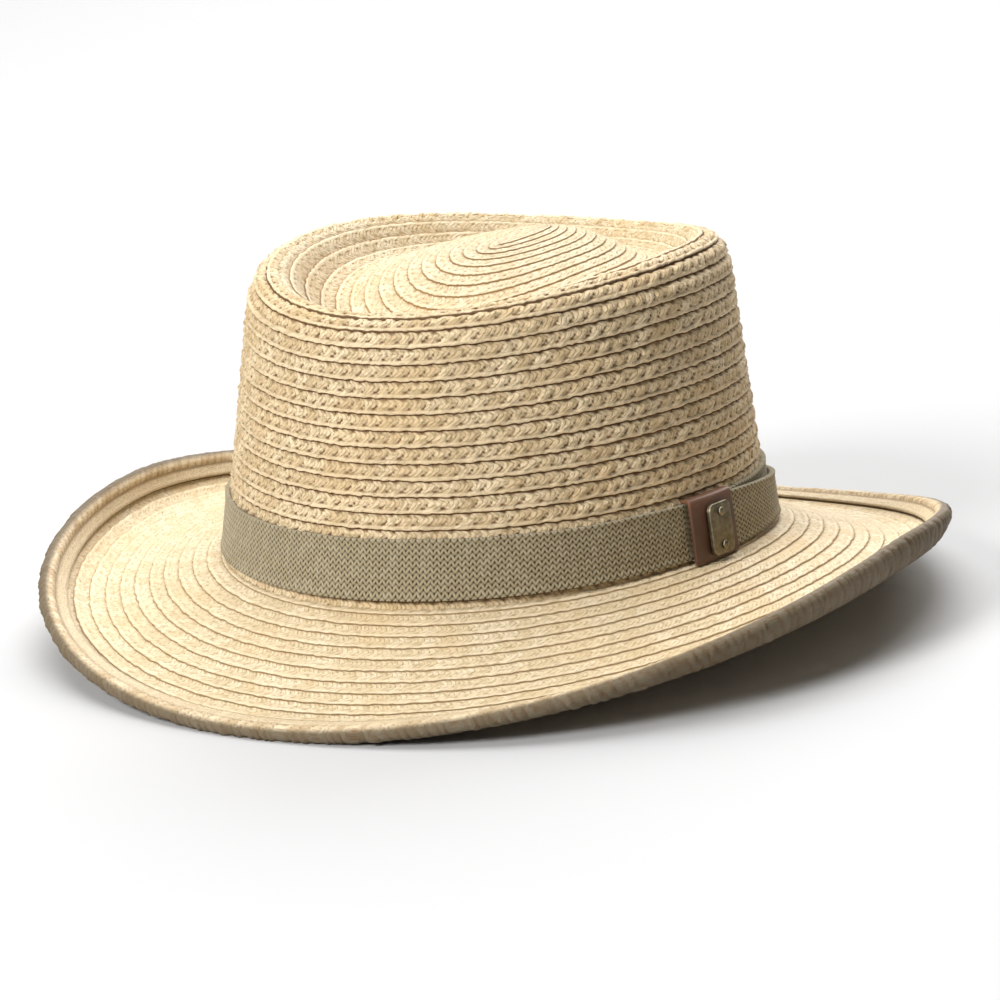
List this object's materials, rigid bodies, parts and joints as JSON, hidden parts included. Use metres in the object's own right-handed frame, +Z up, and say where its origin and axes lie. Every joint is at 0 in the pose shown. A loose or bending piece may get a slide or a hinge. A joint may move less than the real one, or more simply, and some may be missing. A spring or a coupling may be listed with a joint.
{
  "type": "straw gambler hat",
  "caption": "Sewn straw braid hat with a telescoped oval crown, a brim curled up at the sides, a knitted band and a leather keeper with a plain metal plate.",
  "frame": {"origin": "on the surface that the hat rests on, under the middle of its outer box", "axes": "+Z up out of the crown, the front of the hat faces -Y, and the wearer's left side, with the keeper, is +X"},
  "size_m": [0.2958, 0.331, 0.125],
  "materials": {
    "straw": "sewn straw braid",
    "edge_straw": "folded straw braid",
    "knit": "knitted yarn",
    "leather": "smooth brown leather",
    "antique_metal": "antique, worn bright at the edges"
  },
  "bodies": {
    "root": {"crown_wall": "straw", "crown_top": "straw", "brim": "straw", "edge_braid": "edge_straw", "band": "knit", "band_lap": "knit", "leather_keeper": "leather", "tab_plate": "antique_metal", "rivet_lower": "antique_metal", "rivet_upper": "antique_metal"}
  },
  "joints": []
}
